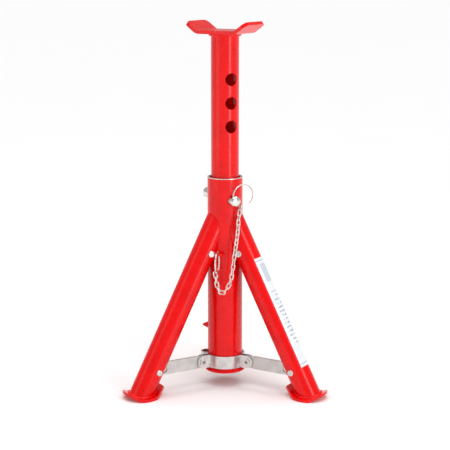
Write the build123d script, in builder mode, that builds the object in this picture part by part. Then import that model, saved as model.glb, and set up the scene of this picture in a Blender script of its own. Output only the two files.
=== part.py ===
"""Folding axle stand: a pinned riser in a sleeve on three folding tube legs, tied by links to a sliding collar.

Millimetres. The origin is on the ground under the sleeve's axis, +Z up. An azimuth of 0 points along -Y and
+90 along +X. In a leg's own plane, r is the distance from the sleeve's axis and z the height.
"""

from build123d import *
from math import atan2, cos, degrees, hypot, radians, sin, sqrt
import os

# sleeve and riser
SLEEVE_R, SLEEVE_WALL = 19.0, 2.0
SLEEVE_BOTTOM, SLEEVE_TOP = 16.0, 232.0
RIM_R, RIM_HEIGHT = 22.0, 6.5
RISER_R, RISER_WALL = 15.0, 2.0
RISER_BOTTOM, RISER_TOP = 180.0, 384.4
HOLE_HEIGHTS = (337.0, 312.0, 287.0, 208.0)
HOLE_D = 13.5

# saddle
SADDLE_T, SADDLE_WIDTH, SADDLE_FLAT, SADDLE_WING, SADDLE_RISE = 3.8, 42.0, 23.0, 16.5, 36.0
SADDLE_CORNER, SADDLE_BEND, SADDLE_YAW = 6.0, 7.0, 30.0

# lock pin and rings
PIN_AZ, PIN_Z, PIN_D, PIN_HOLE_D = 28.0, 208.0, 11.6, 12.0
PIN_NEAR, PIN_FAR, PIN_CHAMFER = 26.5, -43.0, 1.6
RELIEF = 0.35
RING_R, RING_WIRE_R = 12.0, 0.9
RING_HOLE_R, RING_HOLE_BACK, RING_OFFSET, RING_LEAN = 1.9, 4.0, 11.25, 28.0
EYE_AZ, EYE_Z, EYE_R, EYE_T, EYE_HOLE_R, EYE_RIM = -13.0, 150.5, 23.4, 2.0, 2.5, 1.3
ANCHOR_AZ, ANCHOR_TILT, ANCHOR_LEAN = -10.0, 38.0, 11.0

# chain
LINK_WIRE_R, LINK_LENGTH, LINK_WIDTH, LINK_PITCH, END_PITCH = 0.65, 8.5, 5.0, 5.35, 1.5
CHAIN_ROUTE = (
    (14.4, -22.5, 187.0),
    (13.2, -27.0, 173.0),
    (10.6, -30.5, 155.0),
    (8.6, -31.0, 139.0),
    (6.4, -31.2, 125.0),
    (1.8, -31.4, 114.6),
    (-3.2, -31.5, 110.6),
    (-7.4, -31.6, 115.5),
    (-9.3, -31.6, 123.0),
)

# legs
LEG_AZ = {"left": -60.0, "right": 60.0, "back": 180.0}
LEG_R, LEG_WALL, LEG_SPREAD = 12.8, 1.8, 27.5
PIVOT_R, PIVOT_Z, AXIS_OFFSET = 24.0, 151.0, 2.5
LINK_PIN_S, LEG_FOLD, LEG_BEYOND_PIN = 139.0, 23.5, 45.0
LEG_LENGTH_UP = 60.0
COPE_GAP, COPE_STEPS = 0.3, 6
SLOT_W, SLOT_END, LINK_SLOT_W, LINK_SLOT_END = 12.8, 112.0, 5.0, 150.0
RIVET_R, RIVET_HEAD_R, RIVET_HEAD_H = 3.0, 3.7, 1.6
LINK_RIVET_R, LINK_HEAD_R = 2.0, 3.4
LUG_W, LUG_CHEEK, LUG_NOSE_R, LUG_HALF, LUG_WEB = 12.0, 3.0, 6.0, 9.0, 2.5
RUN = 0.06

# feet
FOOT_T, FOOT_R, FOOT_WIDTH = 3.0, 102.0, 40.0
FOOT_FLAT, FOOT_WING, FOOT_RISE, FOOT_BEND = 10.0, 15.0, 28.0, 6.0
FOOT_SHOULDER, FOOT_TOE, FOOT_TAPER, FOOT_TIP = 8.0, 26.0, 2.0, 2.0

# sliding collar and links
COLLAR_Z, COLLAR_H, COLLAR_T, COLLAR_GAP = 28.0, 14.0, 2.0, 0.4
EAR_R, EAR_END_R, EAR_T = 29.3, 36.0, 2.0
TUBE_RIVET_R, TUBE_RIVET_BORE, TUBE_HEAD_R, TUBE_HEAD_H = 3.0, 1.9, 4.2, 0.9
STRAP_T, STRAP_H, STRAP_PLAY, STRAP_END_R = 3.0, 14.0, 0.15, 5.0

# stop nib and label
NIB_AZ, NIB_Z, NIB_R, NIB_H, NIB_TIP_R = -100.0, 65.0, 4.5, 5.9, 1.0
KEYWAY_R, KEYWAY_CENTRE, KEYWAY_T = 5.3, 20.2, 1.6
LABEL_T, LABEL_SPAN, LABEL_FROM, LABEL_TO = 0.3, 39.0, 12.0, 138.0


def outward(az):
    """The level direction at an azimuth."""
    return Vector(sin(radians(az)), -cos(radians(az)), 0)


def upright(az, z=0.0):
    """The leg's plane: local x outward, local y up, with its normal along the hinge pins."""
    across = outward(az).cross(Vector(0, 0, 1))
    return Plane(origin=(0, 0, z), x_dir=outward(az), z_dir=across)


def facing(az, z, r=0.0):
    """A plane across the level direction at an azimuth, r from the sleeve's axis."""
    return Plane(origin=outward(az) * r + Vector(0, 0, z), x_dir=(0, 0, 1), z_dir=outward(az))


def spot(r, z, az):
    """The point at r and z in the leg's plane."""
    return outward(az) * r + Vector(0, 0, z)


def leg_point(s, inset=0.0, fold=0.0):
    """(r, z) of a point s down the leg from its pivot, inset outward across it."""
    lean = radians(LEG_SPREAD - fold)
    return PIVOT_R + s * sin(lean) + inset * cos(lean), PIVOT_Z - s * cos(lean) + inset * sin(lean)


def leg_section(az, s):
    """The plane across a leg, s down it from its pivot: its normal points up the leg, its local x outward."""
    lean = radians(LEG_SPREAD)
    r, z = leg_point(s, AXIS_OFFSET)
    up_leg = outward(az) * -sin(lean) + Vector(0, 0, cos(lean))
    out_leg = outward(az) * cos(lean) + Vector(0, 0, sin(lean))
    return Plane(origin=spot(r, z, az), x_dir=out_leg, z_dir=up_leg)


# The fold linkage: the link's pin in the leg and its pin on the collar, which close at both ends of the fold.
LINK_PIN = leg_point(LINK_PIN_S)
LINK_SPAN = hypot(LINK_PIN[0] - EAR_R, LINK_PIN[1] - COLLAR_Z)
FOLDED_PIN = leg_point(LINK_PIN_S, fold=LEG_FOLD)
COLLAR_TRAVEL = FOLDED_PIN[1] + sqrt(LINK_SPAN**2 - (FOLDED_PIN[0] - EAR_R) ** 2) - COLLAR_Z
LINK_ANGLE = atan2(LINK_PIN[1] - COLLAR_Z, LINK_PIN[0] - EAR_R)
FOLDED_ANGLE = atan2(FOLDED_PIN[1] - COLLAR_Z - COLLAR_TRAVEL, FOLDED_PIN[0] - EAR_R)
LINK_SWING = degrees(LINK_ANGLE - FOLDED_ANGLE)


def pin_in_link(share):
    """Where the leg's link pin lies in the link's own frame, from its far end, at a share of the fold."""
    r, z = leg_point(LINK_PIN_S, fold=LEG_FOLD * share)
    r, z = r - EAR_R, z - COLLAR_Z - COLLAR_TRAVEL * share
    turn = LINK_ANGLE - radians(LINK_SWING) * share
    return r * cos(turn) + z * sin(turn) - LINK_SPAN, z * cos(turn) - r * sin(turn)


os.makedirs("parts", exist_ok=True)


def save(part, name):
    part.label = name
    export_step(part, f"parts/{name}.step")


# ---- sleeve ----
with BuildPart() as outer_tube:
    inner = SLEEVE_R - SLEEVE_WALL
    with BuildSketch(Plane.XZ):
        with BuildLine():
            Polyline((SLEEVE_R, SLEEVE_BOTTOM + RIM_HEIGHT), (SLEEVE_R, SLEEVE_TOP), (inner, SLEEVE_TOP),
                     (inner, SLEEVE_BOTTOM + RIM_HEIGHT))
            ThreePointArc((inner, SLEEVE_BOTTOM + RIM_HEIGHT), (inner + 0.9, SLEEVE_BOTTOM + 2.7),
                          (RIM_R - 1.6, SLEEVE_BOTTOM))
            ThreePointArc((RIM_R - 1.6, SLEEVE_BOTTOM), (RIM_R - 0.2, SLEEVE_BOTTOM + 0.4),
                          (RIM_R, SLEEVE_BOTTOM + 1.6))
            ThreePointArc((RIM_R, SLEEVE_BOTTOM + 1.6), (SLEEVE_R + 0.8, SLEEVE_BOTTOM + 3.6),
                          (SLEEVE_R, SLEEVE_BOTTOM + RIM_HEIGHT))
        make_face()
    revolve(axis=Axis.Z)
    with BuildSketch(facing(PIN_AZ, PIN_Z)):
        Circle(PIN_HOLE_D / 2)
    extrude(amount=2 * SLEEVE_R, both=True, mode=Mode.SUBTRACT)
save(outer_tube.part, "outer_tube")

for name, az in LEG_AZ.items():
    with BuildPart() as hinge_lug:
        with BuildSketch(upright(az)):
            with Locations((PIVOT_R, PIVOT_Z)):
                Circle(LUG_NOSE_R)
            with BuildLine():
                Polyline((SLEEVE_R - 2, PIVOT_Z - LUG_HALF), (SLEEVE_R + 2, PIVOT_Z - LUG_HALF),
                         (PIVOT_R + 4, PIVOT_Z - 4.5), (PIVOT_R + 4, PIVOT_Z + 4.5),
                         (SLEEVE_R + 2, PIVOT_Z + LUG_HALF), (SLEEVE_R - 2, PIVOT_Z + LUG_HALF), close=True)
            make_face()
        extrude(amount=LUG_W / 2, both=True)
        with BuildSketch(upright(az)):
            with Locations((SLEEVE_R + LUG_WEB, PIVOT_Z)):
                Rectangle(4 * LUG_NOSE_R, 4 * LUG_HALF, align=(Align.MIN, Align.CENTER))
        extrude(amount=LUG_W / 2 - LUG_CHEEK, both=True, mode=Mode.SUBTRACT)
        Cylinder(SLEEVE_R, 2 * SLEEVE_TOP, mode=Mode.SUBTRACT)
        with BuildSketch(upright(az)):
            with Locations((PIVOT_R, PIVOT_Z)):
                Circle(RIVET_R + RUN)
        extrude(amount=LUG_W, both=True, mode=Mode.SUBTRACT)
    save(hinge_lug.part, f"hinge_lug_{name}")

with BuildPart() as stop_nib:
    with BuildSketch(facing(NIB_AZ, NIB_Z, SLEEVE_R - 1.5)):
        Circle(NIB_R)
    with BuildSketch(facing(NIB_AZ, NIB_Z, SLEEVE_R + NIB_H)):
        Circle(NIB_TIP_R)
    loft()
    Cylinder(SLEEVE_R, 2 * SLEEVE_TOP, mode=Mode.SUBTRACT)
save(stop_nib.part, "stop_nib")

with BuildPart() as chain_eye:
    with BuildSketch(Plane(origin=(0, 0, EYE_Z), x_dir=outward(EYE_AZ), z_dir=(0, 0, 1))):
        with Locations((EYE_R, 0)):
            Circle(EYE_HOLE_R + EYE_RIM)
            Rectangle(2 * (EYE_R - SLEEVE_R + 2), 2 * (EYE_HOLE_R + EYE_RIM), align=(Align.MAX, Align.CENTER))
            Circle(EYE_HOLE_R, mode=Mode.SUBTRACT)
    extrude(amount=EYE_T / 2, both=True)
    Cylinder(SLEEVE_R, 2 * SLEEVE_TOP, mode=Mode.SUBTRACT)
save(chain_eye.part, "chain_eye")

# ---- riser and saddle ----
with BuildPart() as riser_tube:
    with BuildSketch(Plane.XY.offset(RISER_BOTTOM)):
        Circle(RISER_R)
        Circle(RISER_R - RISER_WALL, mode=Mode.SUBTRACT)
    extrude(amount=RISER_TOP - RISER_BOTTOM)
    for height in HOLE_HEIGHTS:
        with BuildSketch(facing(PIN_AZ, height)):
            Circle(HOLE_D / 2)
        extrude(amount=2 * RISER_R, both=True, mode=Mode.SUBTRACT)
save(riser_tube.part, "riser_tube")


def bent_plate_line(flat, wing, rise, bend):
    """The lower edge of a plate with both ends bent up, from one tip to the other, with round bends."""
    tip_x, tip_z = flat + wing * cos(radians(rise)), wing * sin(radians(rise))
    FilletPolyline((-tip_x, tip_z), (-flat, 0), (flat, 0), (tip_x, tip_z), radius=bend)


saddle_dir = Vector(cos(radians(SADDLE_YAW)), -sin(radians(SADDLE_YAW)), 0)
saddle_side = saddle_dir.cross(Vector(0, 0, 1))
with BuildPart() as saddle:
    with BuildSketch(Plane(origin=(0, 0, RISER_TOP + SADDLE_T / 2), x_dir=saddle_dir, z_dir=saddle_side)):
        with BuildLine() as saddle_line:
            bent_plate_line(SADDLE_FLAT, SADDLE_WING, SADDLE_RISE, SADDLE_BEND)
        trace(line_width=SADDLE_T)
    extrude(amount=SADDLE_WIDTH / 2, both=True)
    tips = saddle.edges().filter_by(lambda e: abs(e.length - SADDLE_T) < 0.2).group_by(Axis.Z)[-1]
    fillet(tips, SADDLE_CORNER)
save(saddle.part, "saddle")

# ---- lock pin and its ring ----
with BuildPart() as lock_pin:
    with BuildSketch(facing(PIN_AZ, PIN_Z, PIN_FAR)):
        Circle(PIN_D / 2)
    extrude(amount=PIN_NEAR - PIN_FAR)
    chamfer(lock_pin.edges().filter_by(GeomType.CIRCLE), PIN_CHAMFER)
    pin_side = outward(PIN_AZ + 90)
    ring_out = pin_side * cos(radians(RING_LEAN)) + Vector(0, 0, sin(radians(RING_LEAN)))
    ring_hole = outward(PIN_AZ) * (PIN_NEAR - RING_HOLE_BACK) + Vector(0, 0, PIN_Z)
    with BuildSketch(Plane(origin=ring_hole, z_dir=ring_out.cross(outward(PIN_AZ)))):
        Circle(RING_HOLE_R)
    extrude(amount=PIN_D, both=True, mode=Mode.SUBTRACT)
    # The riser's wall passes here while the pin is in its hole: clear of it, so that the two joints are free.
    with BuildSketch(Plane.XY.offset(PIN_Z)):
        Circle(RISER_R + RELIEF)
        Circle(RISER_R - RISER_WALL - RELIEF, mode=Mode.SUBTRACT)
    extrude(amount=PIN_D, both=True, mode=Mode.SUBTRACT)
save(lock_pin.part, "lock_pin")

ring_centre = ring_hole + ring_out * RING_OFFSET


def wire_ring(centre, normal, name):
    """A closed wire ring about a centre."""
    with BuildPart() as ring:
        side = Plane(origin=centre, z_dir=normal)
        with BuildSketch(Plane(origin=centre, x_dir=side.x_dir, z_dir=side.y_dir)):
            with Locations((RING_R, 0)):
                Circle(RING_WIRE_R)
        revolve(axis=Axis(centre, normal))
    save(ring.part, name)


wire_ring(ring_centre, outward(PIN_AZ), "pin_ring")

anchor_out = outward(ANCHOR_AZ)
eye_hole = outward(EYE_AZ) * EYE_R + Vector(0, 0, EYE_Z)
anchor_down = outward(ANCHOR_AZ - 90) * sin(radians(ANCHOR_LEAN)) - Vector(0, 0, cos(radians(ANCHOR_LEAN)))
anchor_reach = anchor_out * cos(radians(ANCHOR_TILT)) + anchor_down * sin(radians(ANCHOR_TILT))
anchor_centre = eye_hole + anchor_reach * RING_R
wire_ring(anchor_centre, anchor_down.cross(anchor_out), "anchor_ring")

# ---- chain ----
chain_top = ring_centre - Vector(0, 0, RING_R * cos(radians(14))) - pin_side * (RING_R * sin(radians(14)))
chain_end = anchor_centre + anchor_down * RING_R
with BuildLine() as chain_route:
    Spline(chain_top, *[Vector(*point) for point in CHAIN_ROUTE], chain_end)
route = chain_route.wires()[0]
link_count = round((route.length - 2 * END_PITCH) / LINK_PITCH) + 1
link_count += 1 - link_count % 2
link_pitch = (route.length - 2 * END_PITCH) / (link_count - 1)
with BuildPart() as chain:
    for i in range(link_count):
        middle = (END_PITCH + i * link_pitch) / route.length
        along = (route @ min(middle + 0.024, 1.0) - route @ max(middle - 0.024, 0.0)).normalized()
        share = i / (link_count - 1)
        flat = pin_side * (1 - share) - anchor_out * share
        flat = (flat - along * flat.dot(along)).normalized()
        normal = flat if i % 2 == 0 else along.cross(flat)
        half, bow = (LINK_LENGTH - LINK_WIDTH) / 2, LINK_WIDTH / 2 - LINK_WIRE_R
        with BuildLine(Plane(origin=route @ middle, x_dir=along, z_dir=normal)) as link_line:
            Line((-half, bow), (half, bow))
            ThreePointArc((half, bow), (half + bow, 0), (half, -bow))
            Line((half, -bow), (-half, -bow))
            ThreePointArc((-half, -bow), (-half - bow, 0), (-half, bow))
        with BuildSketch(Plane(origin=link_line.wires()[0] @ 0, z_dir=link_line.wires()[0] % 0)):
            Circle(LINK_WIRE_R)
        sweep(path=link_line.wires()[0])
save(chain.part, "chain")


# ---- legs ----
def cross_rivet(az, s, shank_r, head_r, name, dimple):
    """A headed rivet right through a leg, s down from its pivot."""
    r, z = leg_point(s)
    reach = sqrt(LEG_R**2 - AXIS_OFFSET**2)
    with BuildPart() as rivet:
        with BuildSketch(upright(az)):
            with Locations((r, z)):
                Circle(shank_r)
        extrude(amount=reach, both=True)
        for side in (1, -1):
            with BuildSketch(upright(az).offset(side * (reach - 0.2))):
                with Locations((r, z)):
                    Circle(head_r)
            extrude(amount=side * RIVET_HEAD_H)
        ends = rivet.faces().sort_by(Axis(spot(r, z, az), upright(az).z_dir))
        fillet(ends[0].edges() + ends[-1].edges(), RIVET_HEAD_H * 0.6)
        for side in (1, -1):
            with BuildSketch(upright(az).offset(side * (reach + RIVET_HEAD_H - dimple))):
                with Locations((r, z)):
                    Circle(head_r * 0.32)
            extrude(amount=side * 2 * dimple, mode=Mode.SUBTRACT)
    save(rivet.part, name)
    return rivet.part


def leg_tube(az, name, fitted):
    """A tube coped to the sleeve, slotted inside for the lug, the link and the collar's ears."""
    length = LINK_PIN_S + LEG_BEYOND_PIN
    with BuildPart() as tube:
        with BuildSketch(leg_section(az, length)):
            Circle(LEG_R)
            Circle(LEG_R - LEG_WALL, mode=Mode.SUBTRACT)
        extrude(amount=length + LEG_LENGTH_UP)
        with BuildSketch(Plane.XY.offset(FOOT_T)):
            Circle(3 * FOOT_R)
        extrude(amount=-FOOT_R, mode=Mode.SUBTRACT)
        # The cope clears the sleeve over the whole fold: in the leg's frame the sleeve tilts about the pivot.
        for step in range(COPE_STEPS + 1):
            tilt = radians(LEG_FOLD * step / COPE_STEPS)
            sleeve_line = spot(PIVOT_R * (1 - cos(tilt)), PIVOT_Z - PIVOT_R * sin(tilt), az)
            sleeve_up = Vector(0, 0, cos(tilt)) - outward(az) * sin(tilt)
            with BuildSketch(Plane(origin=sleeve_line, z_dir=sleeve_up)):
                Circle(SLEEVE_R + COPE_GAP)
            extrude(amount=2 * SLEEVE_TOP, both=True, mode=Mode.SUBTRACT)
        # What the cope leaves on the sleeve's far side goes too.
        with BuildSketch(upright(az)):
            Rectangle(8 * SLEEVE_R, 4 * SLEEVE_TOP, align=(Align.MAX, Align.CENTER))
        extrude(amount=2 * LEG_R, both=True, mode=Mode.SUBTRACT)
        slots = ((-LEG_LENGTH_UP, SLOT_END, SLOT_W), (SLOT_END - 1, LINK_SLOT_END, LINK_SLOT_W))
        for start, end, width in slots:
            middle = (start + end) / 2
            with BuildSketch(leg_section(az, middle)):
                Rectangle(2 * LEG_R, width, align=(Align.MAX, Align.CENTER))
            extrude(amount=(end - start) / 2, both=True, mode=Mode.SUBTRACT)
    shape = tube.part
    for piece in fitted:
        shape = shape - piece
    solids = sorted(shape.solids(), key=lambda s: s.volume)
    save(solids[-1], name)


def bent_foot(az, name):
    """A pressed foot: flat in the middle, raised at its outer end and at its pointed toe, round outside."""
    with BuildPart() as foot:
        middle = Plane(origin=spot(FOOT_R, FOOT_T / 2, az), x_dir=outward(az), z_dir=upright(az).z_dir)
        with BuildSketch(middle):
            with BuildLine():
                bent_plate_line(FOOT_FLAT, FOOT_WING, FOOT_RISE, FOOT_BEND)
            trace(line_width=FOOT_T)
        extrude(amount=FOOT_WIDTH / 2, both=True)
        with BuildSketch(Plane(origin=(0, 0, 0), x_dir=outward(az), z_dir=(0, 0, 1))):
            half = FOOT_WIDTH / 2
            with BuildLine():
                shoulder, toe = FOOT_R - FOOT_SHOULDER, FOOT_R - FOOT_TOE
                Polyline((FOOT_R, -half), (shoulder, FOOT_TAPER - half), (toe, -FOOT_TIP), (toe, FOOT_TIP),
                         (shoulder, half - FOOT_TAPER), (FOOT_R, half))
                ThreePointArc((FOOT_R, half), (FOOT_R + half + FOOT_TAPER, 0), (FOOT_R, -half))
            make_face()
        extrude(amount=4 * FOOT_T, both=True, mode=Mode.INTERSECT)
    save(foot.part, name)
    return foot.part


def label_patch(az, name):
    """A thin label wrapped on the leg's outer side."""
    with BuildPart() as label:
        with BuildSketch(leg_section(az, LABEL_TO)):
            Circle(LEG_R + LABEL_T)
            Circle(LEG_R + 0.02, mode=Mode.SUBTRACT)
            with BuildLine():
                reach, span = 2 * LEG_R, radians(LABEL_SPAN)
                Polyline((0, 0), (reach, -reach * sin(span) / cos(span)), (reach, reach * sin(span) / cos(span)),
                         close=True)
            make_face(mode=Mode.INTERSECT)
        extrude(amount=LABEL_TO - LABEL_FROM)
    save(label.part, name)


for name, az in LEG_AZ.items():
    pivot = cross_rivet(az, 0.0, RIVET_R, RIVET_HEAD_R, f"leg_pivot_rivet_{name}", 0.5)
    link_pin = cross_rivet(az, LINK_PIN_S, LINK_RIVET_R, LINK_HEAD_R, f"link_pin_rivet_{name}", 0.5)
    foot = bent_foot(az, f"foot_{name}")
    leg_tube(az, f"leg_tube_{name}", (pivot, link_pin, foot))
label_patch(LEG_AZ["right"], "leg_label")

# ---- collar ----
collar_inner, collar_outer = SLEEVE_R + COLLAR_GAP, SLEEVE_R + COLLAR_GAP + COLLAR_T
ear_inside = STRAP_T / 2 + STRAP_PLAY
band_middle = {"front": 0.0, "right": 120.0, "left": -120.0}
for name, az in band_middle.items():
    with BuildPart() as band:
        with BuildSketch(Plane.XY.offset(COLLAR_Z - COLLAR_H / 2)):
            Circle(collar_outer)
            Circle(collar_inner, mode=Mode.SUBTRACT)
            with BuildLine():
                reach = 3 * collar_outer
                Polyline((0, 0), outward(az - 60) * reach, outward(az) * 2 * reach, outward(az + 60) * reach,
                         close=True)
            make_face(mode=Mode.INTERSECT)
            for side in (1, -1):
                ear_az = az + side * 60
                inward = outward(ear_az - side * 90)
                with BuildLine():
                    near, far = inward * ear_inside, inward * (ear_inside + EAR_T)
                    root, end = outward(ear_az) * (collar_inner + 0.5), outward(ear_az) * EAR_END_R
                    Polyline(near + root, near + end, far + end, far + root, close=True)
                make_face()
                with BuildLine():
                    edge = outward(ear_az - side * 90) * ear_inside
                    back = outward(ear_az + side * 90) * reach
                    beyond = outward(ear_az) * 2 * reach
                    Polyline(edge, edge + beyond, back + beyond, back, close=True)
                make_face(mode=Mode.SUBTRACT)
            if name == "left":
                with Locations(outward(NIB_AZ) * KEYWAY_CENTRE):
                    Circle(KEYWAY_R + KEYWAY_T)
                    Circle(KEYWAY_R, mode=Mode.SUBTRACT)
                Circle(collar_inner, mode=Mode.SUBTRACT)
        extrude(amount=COLLAR_H)
        ends = band.edges().filter_by(lambda e: abs(e.length - EAR_T) < 0.01)
        ends = ends.filter_by(lambda e: hypot(e.center().X, e.center().Y) > EAR_END_R - 1)
        fillet(ends, COLLAR_H / 2 - 0.2)
        for side in (1, -1):
            with BuildSketch(upright(az + side * 60)):
                with Locations((EAR_R, COLLAR_Z)):
                    Circle(TUBE_RIVET_R + RUN)
            extrude(amount=3 * EAR_T, both=True, mode=Mode.SUBTRACT)
    save(band.part, f"collar_band_{name}")

with BuildPart() as collar_rivets:
    ear_outside = ear_inside + EAR_T
    for az in LEG_AZ.values():
        with BuildSketch(upright(az)):
            with Locations((EAR_R, COLLAR_Z)):
                Circle(TUBE_RIVET_R)
        extrude(amount=ear_outside, both=True)
        for side in (1, -1):
            with BuildSketch(upright(az).offset(side * (ear_outside + 0.02))):
                with Locations((EAR_R, COLLAR_Z)):
                    Circle(TUBE_HEAD_R)
            extrude(amount=side * TUBE_HEAD_H)
            with BuildSketch(upright(az).offset(side * ear_outside)):
                with Locations((EAR_R, COLLAR_Z)):
                    Circle(TUBE_RIVET_R)
            extrude(amount=side * TUBE_HEAD_H)
        with BuildSketch(upright(az)):
            with Locations((EAR_R, COLLAR_Z)):
                Circle(TUBE_RIVET_BORE)
        extrude(amount=2 * ear_outside, both=True, mode=Mode.SUBTRACT)
save(collar_rivets.part, "collar_rivets")

# ---- links ----
path = [pin_in_link(i / 24) for i in range(25)]
shoulder = LINK_SPAN - STRAP_H / 2
for name, az in LEG_AZ.items():
    with BuildPart() as link:
        frame = upright(az)
        turned = Plane(origin=spot(EAR_R, COLLAR_Z, az),
                       x_dir=outward(az) * cos(LINK_ANGLE) + Vector(0, 0, sin(LINK_ANGLE)), z_dir=frame.z_dir)
        with BuildSketch(turned):
            Circle((STRAP_H - 1) / 2)
            with Locations((shoulder / 2, 0)):
                Rectangle(shoulder, STRAP_H - 1)
            with Locations((LINK_SPAN / 2, 0)):
                Rectangle(LINK_SPAN - STRAP_H, STRAP_H)
            with BuildLine():
                Polyline((shoulder, -STRAP_H / 2), (LINK_SPAN, -STRAP_END_R), (LINK_SPAN, STRAP_END_R),
                         (shoulder, STRAP_H / 2), close=True)
            make_face()
            with Locations((LINK_SPAN, 0)):
                Circle(STRAP_END_R)
            Circle(TUBE_RIVET_R + RUN, mode=Mode.SUBTRACT)
        extrude(amount=STRAP_T / 2, both=True)
        # The slot that the leg's pin drifts along while the link swings.
        with BuildSketch(turned) as slot:
            for x, y in path:
                with Locations((LINK_SPAN + x, y)):
                    Circle(LINK_RIVET_R + RUN)
            make_hull(slot.sketch_local.edges())
        extrude(amount=STRAP_T, both=True, mode=Mode.SUBTRACT)
    save(link.part, f"link_{name}")

print("collar travel", COLLAR_TRAVEL, "link swing", LINK_SWING)
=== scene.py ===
from math import cos, pi, radians, sin, tan

import bmesh
import bpy
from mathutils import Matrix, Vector


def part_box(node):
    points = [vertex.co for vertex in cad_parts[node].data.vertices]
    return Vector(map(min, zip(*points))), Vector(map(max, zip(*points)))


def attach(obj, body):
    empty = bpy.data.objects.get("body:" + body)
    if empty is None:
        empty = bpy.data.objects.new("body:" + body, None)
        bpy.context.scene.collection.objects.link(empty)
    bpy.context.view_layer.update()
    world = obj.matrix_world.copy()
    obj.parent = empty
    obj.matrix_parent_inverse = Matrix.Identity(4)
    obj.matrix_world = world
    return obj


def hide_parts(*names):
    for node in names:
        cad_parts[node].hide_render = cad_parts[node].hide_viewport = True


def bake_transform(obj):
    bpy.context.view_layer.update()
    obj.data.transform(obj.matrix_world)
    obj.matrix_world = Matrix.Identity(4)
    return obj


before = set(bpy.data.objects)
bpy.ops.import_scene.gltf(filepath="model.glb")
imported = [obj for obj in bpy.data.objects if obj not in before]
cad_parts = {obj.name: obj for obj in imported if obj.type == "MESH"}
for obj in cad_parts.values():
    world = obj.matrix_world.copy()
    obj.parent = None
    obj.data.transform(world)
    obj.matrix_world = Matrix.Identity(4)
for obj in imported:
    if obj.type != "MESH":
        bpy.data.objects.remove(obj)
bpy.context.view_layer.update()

MM = 0.001
UP = Vector((0, 0, 1))

# The design's own angles and sizes, which the frame's boxes don't hold.
PIN_AZ, RING_LEAN = 28.0, 28.0
ANCHOR_AZ, ANCHOR_LEAN = -10.0, 11.0
LEG_AZ = {"left": -60.0, "right": 60.0, "back": 180.0}
LEG_SPREAD, LEG_R = 27.5, 12.8 * MM
PIVOT_R, PIVOT_Z, AXIS_OFFSET = 24.0 * MM, 151.0 * MM, 2.5 * MM
FOOT_R, FOOT_T, FOOT_FLAT, FOOT_RISE = 102.0 * MM, 3.0 * MM, 10.0 * MM, 28.0
RISER_R = 15.0 * MM
PIN_Z, PIN_R, PIN_NEAR, PIN_FAR, PIN_CHAMFER = 208.0 * MM, 5.8 * MM, 26.5 * MM, -43.0 * MM, 1.6 * MM
RING_R, RING_WIRE_R = 12.0 * MM, 0.43 * MM
RING_HOLE_R, RING_HOLE_BACK = 1.9 * MM, 4.0 * MM
SADDLE_BEAD_R, FOOT_BEAD_R = 1.7 * MM, 1.5 * MM
FLOOR_HALF = 60.0


def outward(az):
    """The level direction at an azimuth: 0 is -Y, +90 is +X."""
    return Vector((sin(radians(az)), -cos(radians(az)), 0))


# ---- materials ----
def new_material(name, metallic, roughness, coat=0.0):
    """A principled material and its node helpers."""
    mat = bpy.data.materials.new(name)
    mat.use_nodes = True
    nodes, links = mat.node_tree.nodes, mat.node_tree.links
    shader = nodes["Principled BSDF"]
    shader.inputs["Metallic"].default_value = metallic
    shader.inputs["Roughness"].default_value = roughness
    shader.inputs["Coat Weight"].default_value = coat
    shader.inputs["Specular IOR Level"].default_value = 0.5 if metallic else 0.16
    shader.inputs["Coat Roughness"].default_value = 0.06
    return mat, nodes, links, shader


def object_coords(nodes):
    """Object coordinates, which are the frame's own metres."""
    return nodes.new("ShaderNodeTexCoord").outputs["Object"]


def noise(nodes, links, vector, scale, detail=3.0, stretch=(1, 1, 1)):
    """A noise value over a stretched copy of the coordinates."""
    mapping = nodes.new("ShaderNodeMapping")
    mapping.inputs["Scale"].default_value = stretch
    links.new(vector, mapping.inputs["Vector"])
    tex = nodes.new("ShaderNodeTexNoise")
    tex.inputs["Scale"].default_value = scale
    tex.inputs["Detail"].default_value = detail
    links.new(mapping.outputs["Vector"], tex.inputs["Vector"])
    return tex.outputs["Fac"]


def ramp(nodes, links, value, stops):
    """A colour ramp: stops are (place, colour)."""
    node = nodes.new("ShaderNodeValToRGB")
    node.color_ramp.elements[0].position, node.color_ramp.elements[0].color = stops[0][0], (*stops[0][1], 1)
    node.color_ramp.elements[1].position, node.color_ramp.elements[1].color = stops[-1][0], (*stops[-1][1], 1)
    for place, colour in stops[1:-1]:
        node.color_ramp.elements.new(place).color = (*colour, 1)
    links.new(value, node.inputs["Fac"])
    return node.outputs["Color"]


def span(nodes, links, value, low, high):
    """A value's 0 to 1 range carried to low to high."""
    node = nodes.new("ShaderNodeMapRange")
    node.inputs["To Min"].default_value = low
    node.inputs["To Max"].default_value = high
    links.new(value, node.inputs["Value"])
    return node.outputs["Result"]


def math_node(nodes, links, operation, a, b=None):
    """One math node; a and b are sockets or numbers."""
    node = nodes.new("ShaderNodeMath")
    node.operation = operation
    for i, value in enumerate((a, b)):
        if isinstance(value, (int, float)):
            node.inputs[i].default_value = value
        elif value is not None:
            links.new(value, node.inputs[i])
    return node.outputs[0]


def mix(nodes, links, factor, a, b):
    """A colour mix; a and b are sockets or colours."""
    node = nodes.new("ShaderNodeMix")
    node.data_type = "RGBA"
    links.new(factor, node.inputs["Factor"])
    for name, value in (("A", a), ("B", b)):
        socket = next(s for s in node.inputs if s.name == name and s.type == "RGBA")
        if isinstance(value, tuple):
            socket.default_value = (*value, 1)
        else:
            links.new(value, socket)
    return next(s for s in node.outputs if s.type == "RGBA")


def add_bump(nodes, links, shader, value, strength, distance):
    """Bump from a height value, on the surface."""
    bump = nodes.new("ShaderNodeBump")
    bump.inputs["Strength"].default_value = strength
    bump.inputs["Distance"].default_value = distance
    links.new(value, bump.inputs["Height"])
    links.new(bump.outputs["Normal"], shader.inputs["Normal"])


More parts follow.
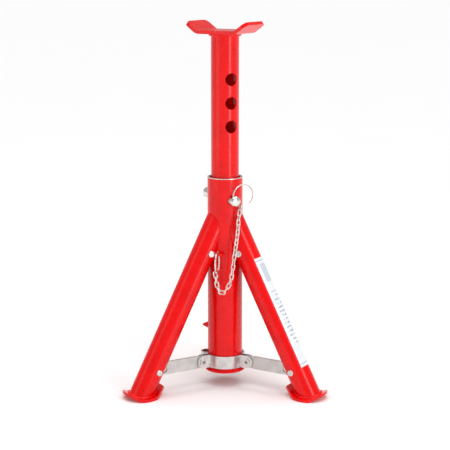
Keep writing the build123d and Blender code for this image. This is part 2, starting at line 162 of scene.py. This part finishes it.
def red_paint(name, bare_above=None, worn=False):
    """Gloss red enamel with a faint orange peel; bare steel above a height; slide marks where worn."""
    mat, nodes, links, shader = new_material(name, 0.0, 0.25, coat=0.28)
    where = object_coords(nodes)
    cloud = noise(nodes, links, where, 60, 4)
    colour = ramp(nodes, links, cloud, ((0.3, (0.70, 0.0, 0.001)), (0.5, (0.78, 0.0, 0.001)),
                                        (0.7, (0.82, 0.001, 0.002))))
    specks = ramp(nodes, links, noise(nodes, links, where, 1400, 2), ((0.74, (0, 0, 0)), (0.80, (1, 1, 1))))
    faint = math_node(nodes, links, "MULTIPLY", specks, 0.25)
    colour = mix(nodes, links, faint, colour, (0.42, 0.004, 0.005))
    if worn:
        marks = noise(nodes, links, where, 260, 3, stretch=(3.0, 3.0, 0.06))
        marks = ramp(nodes, links, marks, ((0.62, (0, 0, 0)), (0.72, (1, 1, 1))))
        rubbed = math_node(nodes, links, "MULTIPLY", marks, 0.3)
        colour = mix(nodes, links, rubbed, colour, (0.55, 0.02, 0.02))
    if bare_above is not None:
        split = nodes.new("ShaderNodeSeparateXYZ")
        links.new(where, split.inputs[0])
        edge = math_node(nodes, links, "MULTIPLY", noise(nodes, links, where, 500, 2), 0.0006)
        bare = math_node(nodes, links, "GREATER_THAN", split.outputs["Z"],
                         math_node(nodes, links, "ADD", edge, bare_above))
        colour = mix(nodes, links, bare, colour, (0.62, 0.60, 0.58))
        links.new(bare, shader.inputs["Metallic"])
    links.new(colour, shader.inputs["Base Color"])
    links.new(span(nodes, links, noise(nodes, links, where, 180, 4), 0.2, 0.34), shader.inputs["Roughness"])
    add_bump(nodes, links, shader, noise(nodes, links, where, 480, 2), 0.12, 0.0003)
    return mat


def metal(name, dark, light, rough, grain=(1, 1, 1), bump=0.1):
    """Plated steel: cloudy tone, uneven roughness, fine drawn grain."""
    mat, nodes, links, shader = new_material(name, 1.0, rough[0])
    where = object_coords(nodes)
    cloud = noise(nodes, links, where, 90, 5)
    links.new(ramp(nodes, links, cloud, ((0.3, dark), (0.7, light))), shader.inputs["Base Color"])
    streaks = noise(nodes, links, where, 420, 4, grain)
    links.new(span(nodes, links, streaks, *rough), shader.inputs["Roughness"])
    add_bump(nodes, links, shader, noise(nodes, links, where, 900, 3, grain), bump, 0.0002)
    return mat


def label_film():
    """A pale printed film: a tinted panel, a thin border and rows of plain bars, laid out down the leg."""
    mat, nodes, links, shader = new_material("label_film", 0.0, 0.35, coat=0.3)
    az = LEG_AZ["right"]
    down = outward(az) * sin(radians(LEG_SPREAD)) - UP * cos(radians(LEG_SPREAD))
    where = object_coords(nodes)

    def along(direction, start):
        dot = nodes.new("ShaderNodeVectorMath")
        dot.operation = "DOT_PRODUCT"
        links.new(where, dot.inputs[0])
        dot.inputs[1].default_value = direction
        return math_node(nodes, links, "SUBTRACT", dot.outputs["Value"], start)

    pivot = outward(az) * PIVOT_R + UP * PIVOT_Z
    s = along(down, pivot.dot(down))
    w = along(outward(az).cross(UP), 0.0)
    across = math_node(nodes, links, "ABSOLUTE", w)

    def within(value, low, high):
        return math_node(nodes, links, "MULTIPLY", math_node(nodes, links, "GREATER_THAN", value, low),
                         math_node(nodes, links, "LESS_THAN", value, high))

    row = math_node(nodes, links, "FRACT", math_node(nodes, links, "DIVIDE", s, 4.6 * MM))
    gaps = math_node(nodes, links, "GREATER_THAN", noise(nodes, links, where, 420, 1), 0.46)
    bars = math_node(nodes, links, "MULTIPLY", math_node(nodes, links, "LESS_THAN", row, 0.34),
                     within(s, 48 * MM, 112 * MM))
    bars = math_node(nodes, links, "MULTIPLY", bars, math_node(nodes, links, "LESS_THAN", across, 5.2 * MM))
    bars = math_node(nodes, links, "MULTIPLY", bars, gaps)
    panel = math_node(nodes, links, "MULTIPLY", within(s, 19 * MM, 40 * MM),
                      math_node(nodes, links, "LESS_THAN", across, 5.2 * MM))
    border = math_node(nodes, links, "ADD", within(s, 15 * MM, 15.8 * MM), within(s, 134 * MM, 134.8 * MM))
    tone = noise(nodes, links, where, 120, 3)
    colour = ramp(nodes, links, tone, ((0.3, (0.70, 0.73, 0.78)), (0.7, (0.82, 0.84, 0.87))))
    colour = mix(nodes, links, panel, colour, (0.56, 0.60, 0.66))
    colour = mix(nodes, links, bars, colour, (0.32, 0.35, 0.40))
    colour = mix(nodes, links, border, colour, (0.40, 0.44, 0.50))
    links.new(colour, shader.inputs["Base Color"])
    links.new(span(nodes, links, noise(nodes, links, where, 300, 3), 0.3, 0.42), shader.inputs["Roughness"])
    add_bump(nodes, links, shader, tone, 0.05, 0.0002)
    return mat


SLEEVE_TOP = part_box("outer_tube")[1].z
paint = red_paint("red_enamel")
paint_sleeve = red_paint("red_enamel_sleeve", bare_above=SLEEVE_TOP - 1.1 * MM)
paint_riser = red_paint("red_enamel_riser", worn=True)
zinc = metal("zinc_plate", (0.55, 0.55, 0.54), (0.78, 0.78, 0.76), (0.22, 0.38))
strap_zinc = metal("strap_zinc", (0.52, 0.52, 0.50), (0.68, 0.68, 0.66), (0.42, 0.6), bump=0.2)
nickel = metal("nickel_plate", (0.66, 0.64, 0.60), (0.84, 0.82, 0.78), (0.12, 0.26))
weld_paint = red_paint("red_enamel_weld")


# ---- mesh helpers ----
def add_mesh(name, bm, material, body):
    """A finished mesh, smooth shaded, riding on a body."""
    bmesh.ops.recalc_face_normals(bm, faces=bm.faces)
    data = bpy.data.meshes.new(name)
    bm.to_mesh(data)
    bm.free()
    for face in data.polygons:
        face.use_smooth = True
    obj = bpy.data.objects.new(name, data)
    bpy.context.scene.collection.objects.link(obj)
    data.materials.append(material)
    if body:
        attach(obj, body)
    return obj


def sweep(centres, frames, radii, closed, sides=12):
    """A round tube through the centres; frames are the two cross directions at each."""
    bm = bmesh.new()
    rings = []
    for centre, (a, b), r in zip(centres, frames, radii):
        rings.append([bm.verts.new(centre + (a * cos(2 * pi * k / sides) + b * sin(2 * pi * k / sides)) * r)
                      for k in range(sides)])
    pairs = list(zip(rings, rings[1:]))
    if closed:
        pairs.append((rings[-1], rings[0]))
    else:
        bm.faces.new(rings[0])
        bm.faces.new(rings[-1])
    for low, high in pairs:
        for k in range(sides):
            j = (k + 1) % sides
            bm.faces.new((low[k], low[j], high[j], high[k]))
    return bm


def lathe(profile, origin, axis, sides=64):
    """A solid of revolution: profile is (along, radius), both ends on the axis."""
    side = axis.orthogonal().normalized()
    other = axis.cross(side)
    bm = bmesh.new()
    first = bm.verts.new(origin + axis * profile[0][0])
    last = bm.verts.new(origin + axis * profile[-1][0])
    rings = []
    for t, r in profile[1:-1]:
        rings.append([bm.verts.new(origin + axis * t + (side * cos(2 * pi * k / sides)
                                                        + other * sin(2 * pi * k / sides)) * r)
                      for k in range(sides)])
    for k in range(sides):
        j = (k + 1) % sides
        bm.faces.new((first, rings[0][j], rings[0][k]))
        bm.faces.new((last, rings[-1][k], rings[-1][j]))
        for low, high in zip(rings, rings[1:]):
            bm.faces.new((low[k], low[j], high[j], high[k]))
    return bm


# ---- lock pin ----
pin_dir = outward(PIN_AZ)
pin_side = outward(PIN_AZ + 90)
ring_out = pin_side * cos(radians(RING_LEAN)) + UP * sin(radians(RING_LEAN))
ring_hole = pin_dir * (PIN_NEAR - RING_HOLE_BACK) + UP * PIN_Z


def lock_pin():
    """One whole rod with chamfered ends and a cross hole for its ring."""
    soft = 0.3 * MM
    profile = [(PIN_FAR, 0), (PIN_FAR, PIN_R - PIN_CHAMFER - soft),
               (PIN_FAR + soft * 0.5, PIN_R - PIN_CHAMFER),
               (PIN_FAR + PIN_CHAMFER, PIN_R - soft * 0.4), (PIN_FAR + PIN_CHAMFER + soft, PIN_R)]
    profile += [(PIN_NEAR - (t - PIN_FAR), r) for t, r in reversed(profile)]
    rod = add_mesh("lock_pin_rod", lathe(profile, UP * PIN_Z, pin_dir), nickel, None)
    drill_axis = ring_out.cross(pin_dir)
    reach = 2 * PIN_R
    drill = add_mesh("drill", lathe([(-reach, 0), (-reach, RING_HOLE_R), (reach, RING_HOLE_R), (reach, 0)],
                                    ring_hole, drill_axis, 32), nickel, None)
    cut = rod.modifiers.new("hole", "BOOLEAN")
    cut.operation, cut.solver, cut.object = "DIFFERENCE", "EXACT", drill
    done = bpy.data.meshes.new_from_object(rod.evaluated_get(bpy.context.evaluated_depsgraph_get()))
    rod.modifiers.clear()
    rod.data = done
    bpy.data.objects.remove(drill)
    smooth_by_angle(rod)
    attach(rod, "lock_pin")
    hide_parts("lock_pin")


def smooth_by_angle(obj, limit=40.0):
    """Smooth shading with sharp edges past a limit."""
    bm = bmesh.new()
    bm.from_mesh(obj.data)
    for edge in bm.edges:
        edge.smooth = len(edge.link_faces) < 2 or edge.calc_face_angle(0) < radians(limit)
    bm.to_mesh(obj.data)
    bm.free()


# ---- split rings ----
def split_ring(name, node, body, normal, start):
    """A key ring: two turns of wire side by side, with an end showing on each face."""
    low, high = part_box(node)
    centre = (low + high) / 2
    a = start.normalized()
    b = normal.cross(a)
    turns, steps = 2, 192
    centres, frames = [], []
    for i in range(steps + 1):
        t = i / steps
        angle = 2 * pi * turns * t
        out = a * cos(angle) + b * sin(angle)
        # The wire steps from one side to the other over a short stretch.
        shift = max(-1.0, min(1.0, (t - 0.5) * 16))
        centres.append(centre + out * RING_R + normal * RING_WIRE_R * shift * 1.03)
        frames.append((out, normal))
    wire = sweep(centres, frames, [RING_WIRE_R] * len(centres), False)
    ring = add_mesh(name, wire, nickel, body)
    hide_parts(node)


# ---- chain ----
def chain():
    """The chain's links as one mesh, copied from the CAD node in plated metal."""
    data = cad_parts["chain"].data.copy()
    data.materials.clear()
    data.materials.append(nickel)
    obj = bpy.data.objects.new("chain_links", data)
    bpy.context.scene.collection.objects.link(obj)
    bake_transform(obj)
    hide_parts("chain")


# ---- welds ----
def rippled(count, r, depth):
    """Radii of a weld bead's ripples."""
    return [r * (1 + depth * sin(i * 2.1) + 0.5 * depth * sin(i * 0.9 + 1)) for i in range(count)]


def saddle_weld():
    """The bead round the riser under the saddle plate."""
    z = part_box("riser_tube")[1].z - 0.9 * MM
    count = 150
    centres, frames = [], []
    for i in range(count):
        out = outward(360 * i / count)
        centres.append(out * (RISER_R + 0.7 * MM) + UP * z)
        frames.append((out, UP))
    bead = sweep(centres, frames, rippled(count, SADDLE_BEAD_R, 0.08), True)
    add_mesh("saddle_weld", bead, weld_paint, "riser")


def foot_top(x):
    """Height of a foot's upper face, x outward from its middle."""
    return FOOT_T + max(0.0, abs(x) - FOOT_FLAT) * tan(radians(FOOT_RISE))


def foot_weld(name, az):
    """The bead round a leg where it stands on its foot."""
    out, side = outward(az), outward(az + 90)
    spread = radians(LEG_SPREAD)
    down = out * sin(spread) - UP * cos(spread)
    local = out * cos(spread) + UP * sin(spread)
    axis_point = out * PIVOT_R + UP * PIVOT_Z + local * AXIS_OFFSET
    count = 110
    centres = []
    for i in range(count):
        angle = 2 * pi * i / count
        base = axis_point + (local * cos(angle) + side * sin(angle)) * (LEG_R + 0.2 * MM)
        height = FOOT_T
        for _ in range(12):
            point = base + down * ((base.z - height) / cos(spread))
            height = foot_top(point.dot(out) - FOOT_R)
        centres.append(point)
    frames = []
    for i in range(count):
        tangent = (centres[(i + 1) % count] - centres[i - 1]).normalized()
        a = tangent.cross(UP).normalized()
        frames.append((a, a.cross(tangent)))
    bead = sweep(centres, frames, rippled(count, FOOT_BEAD_R, 0.14), True, 10)
    add_mesh(f"foot_weld_{name}", bead, weld_paint, f"leg_{name}")


# ---- finishes on the carried-over nodes ----
def finish_nodes():
    """Each CAD node that shows gets its own finish."""
    for name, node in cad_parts.items():
        if name == "outer_tube":
            chosen = paint_sleeve
        elif name == "riser_tube":
            chosen = paint_riser
        elif name == "leg_label":
            chosen = label_film()
        elif name.startswith("link_") and "rivet" not in name:
            chosen = strap_zinc
        elif name.startswith("collar_band") or "rivet" in name:
            chosen = zinc
        elif name in ("lock_pin", "pin_ring", "anchor_ring", "chain"):
            chosen = nickel
        else:
            chosen = paint
        node.data.materials.clear()
        node.data.materials.append(chosen)


finish_nodes()
lock_pin()
split_ring("pin_key_ring", "pin_ring", "pin_ring", pin_dir, UP)
anchor_down = outward(ANCHOR_AZ - 90) * sin(radians(ANCHOR_LEAN)) - UP * cos(radians(ANCHOR_LEAN))
split_ring("anchor_key_ring", "anchor_ring", "base", anchor_down.cross(outward(ANCHOR_AZ)), UP)
chain()
saddle_weld()
for leg, azimuth in LEG_AZ.items():
    foot_weld(leg, azimuth)


# ---- studio ----
def softbox(name, azimuth, height, distance, size, power):
    """An area light aimed at the stand's middle; azimuth 0 is the camera's side, + to its right."""
    light = bpy.data.lights.new(name, "AREA")
    light.shape, light.size, light.size_y, light.energy = "RECTANGLE", size[0], size[1], power
    obj = bpy.data.objects.new(name, light)
    bpy.context.scene.collection.objects.link(obj)
    obj.location = outward(azimuth) * distance + UP * height
    aim = UP * 0.2 - obj.location
    obj.rotation_euler = aim.to_track_quat("-Z", "Y").to_euler()


def studio():
    """A plain pale floor, an even pale surround, two softboxes and an overhead sun."""
    floor_mesh = bpy.data.meshes.new("floor")
    corners = [(x * FLOOR_HALF, y * FLOOR_HALF, 0) for x, y in ((-1, -1), (1, -1), (1, 1), (-1, 1))]
    floor_mesh.from_pydata(corners, [], [(0, 1, 2, 3)])
    floor = bpy.data.objects.new("floor", floor_mesh)
    bpy.context.scene.collection.objects.link(floor)
    mat, nodes, links, shader = new_material("floor", 0.0, 0.9)
    tone = noise(nodes, links, object_coords(nodes), 4, 2)
    links.new(ramp(nodes, links, tone, ((0.2, (0.94, 0.94, 0.94)), (0.8, (0.95, 0.95, 0.95)))),
              shader.inputs["Base Color"])
    floor_mesh.materials.append(mat)
    world = bpy.data.worlds.new("surround")
    bpy.context.scene.world = world
    world.use_nodes = True
    world.node_tree.nodes["Background"].inputs["Color"].default_value = (1, 1, 1, 1)
    world.node_tree.nodes["Background"].inputs["Strength"].default_value = 0.45
    softbox("key", 41, 0.5, 1.3, (0.42, 1.3), 7.5)
    softbox("fill", -62, 0.5, 1.5, (0.7, 1.2), 2.6)
    sun = bpy.data.lights.new("overhead", "SUN")
    sun.energy, sun.angle = 1.9, radians(70)
    overhead = bpy.data.objects.new("overhead", sun)
    bpy.context.scene.collection.objects.link(overhead)
    bpy.context.scene.view_settings.view_transform = "Standard"


def camera():
    """The viewing angle: slightly above the saddle's height, looking a little down."""
    data = bpy.data.cameras.new("camera")
    data.sensor_width, data.lens = 36.0, 101.4
    obj = bpy.data.objects.new("camera", data)
    bpy.context.scene.collection.objects.link(obj)
    obj.location = (0, -1.35, 0.457)
    obj.rotation_euler = (radians(90 - 11.67), 0, 0)
    bpy.context.scene.camera = obj


studio()
camera()
